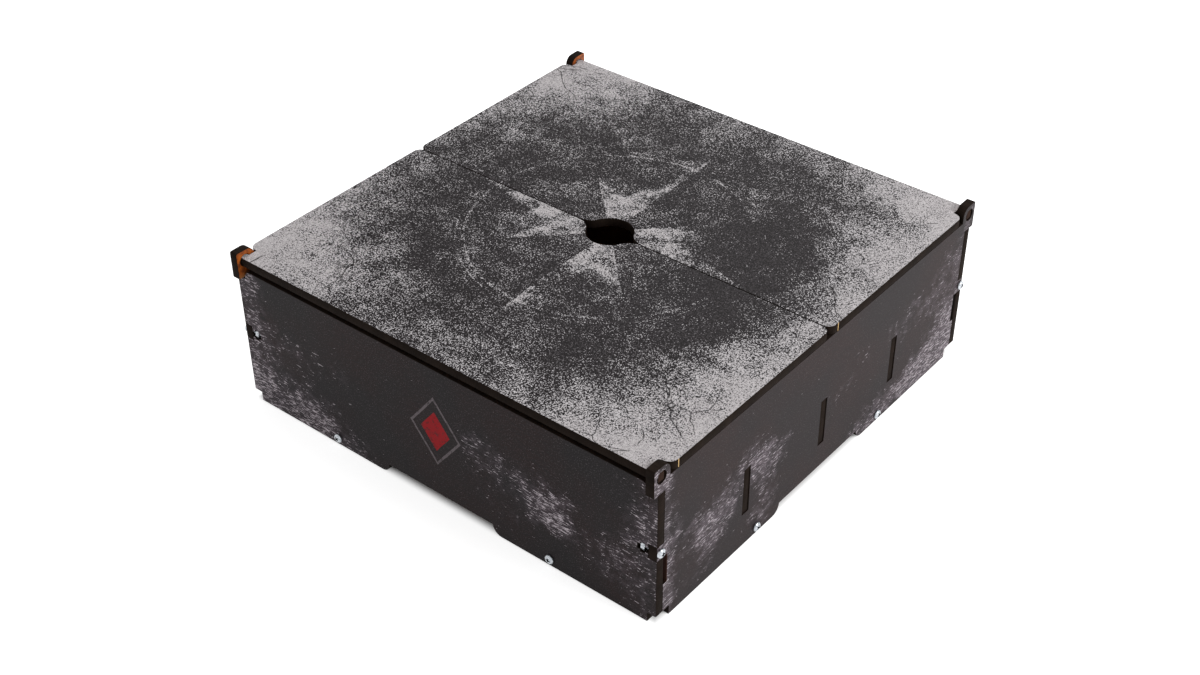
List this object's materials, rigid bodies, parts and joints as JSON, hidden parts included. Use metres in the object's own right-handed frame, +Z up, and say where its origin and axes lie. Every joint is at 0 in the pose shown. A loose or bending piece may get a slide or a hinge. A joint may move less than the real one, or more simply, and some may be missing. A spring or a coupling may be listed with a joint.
{
  "type": "card storage case",
  "caption": "Low square storage case for playing cards, of slotted and screwed printed board, with a split hinged lid, a finger hole, lane dividers and corner ears for stacking.",
  "frame": {"origin": "on the table, under the middle of the case", "axes": "+X to the right along the front wall, +Y from front to back, +Z up"},
  "size_m": [0.3042, 0.3066, 0.1059],
  "materials": {
    "printed_wall": "dark worn print on laser-cut board",
    "printed_lid": "mottled grey print on laser-cut board",
    "raw_board": "raw laser-cut fibreboard with charred edges",
    "zinc_steel": "bright zinc plate"
  },
  "bodies": {
    "case": {"front_wall": "printed_wall", "back_wall": "printed_wall", "left_wall": "printed_wall", "right_wall": "printed_wall", "bottom_plate": "raw_board", "front_divider": "raw_board", "middle_divider": "raw_board", "back_divider": "raw_board", "corner_front_left_screw": "zinc_steel", "corner_front_left_nut": "zinc_steel", "left_wall_front_screw": "zinc_steel", "left_wall_front_nut": "zinc_steel", "front_wall_left_screw": "zinc_steel", "front_wall_left_nut": "zinc_steel", "corner_back_left_screw": "zinc_steel", "corner_back_left_nut": "zinc_steel", "left_wall_back_screw": "zinc_steel", "left_wall_back_nut": "zinc_steel", "back_wall_left_screw": "zinc_steel", "back_wall_left_nut": "zinc_steel", "corner_front_right_screw": "zinc_steel", "corner_front_right_nut": "zinc_steel", "right_wall_front_screw": "zinc_steel", "right_wall_front_nut": "zinc_steel", "front_wall_right_screw": "zinc_steel", "front_wall_right_nut": "zinc_steel", "corner_back_right_screw": "zinc_steel", "corner_back_right_nut": "zinc_steel", "right_wall_back_screw": "zinc_steel", "right_wall_back_nut": "zinc_steel", "back_wall_right_screw": "zinc_steel", "back_wall_right_nut": "zinc_steel"},
    "front_leaf": {"front_lid": "printed_lid"},
    "back_leaf": {"back_lid": "printed_lid"}
  },
  "joints": [
    {"name": "front_lid_hinge", "type": "hinge", "parent": "case", "child": "front_leaf", "pos_m": [0, -0.14735, 0.09935], "axis": [1, 0, 0], "range_deg": [0, 105]},
    {"name": "back_lid_hinge", "type": "hinge", "parent": "case", "child": "back_leaf", "pos_m": [0, 0.14735, 0.09935], "axis": [-1, 0, 0], "range_deg": [0, 105]}
  ]
}
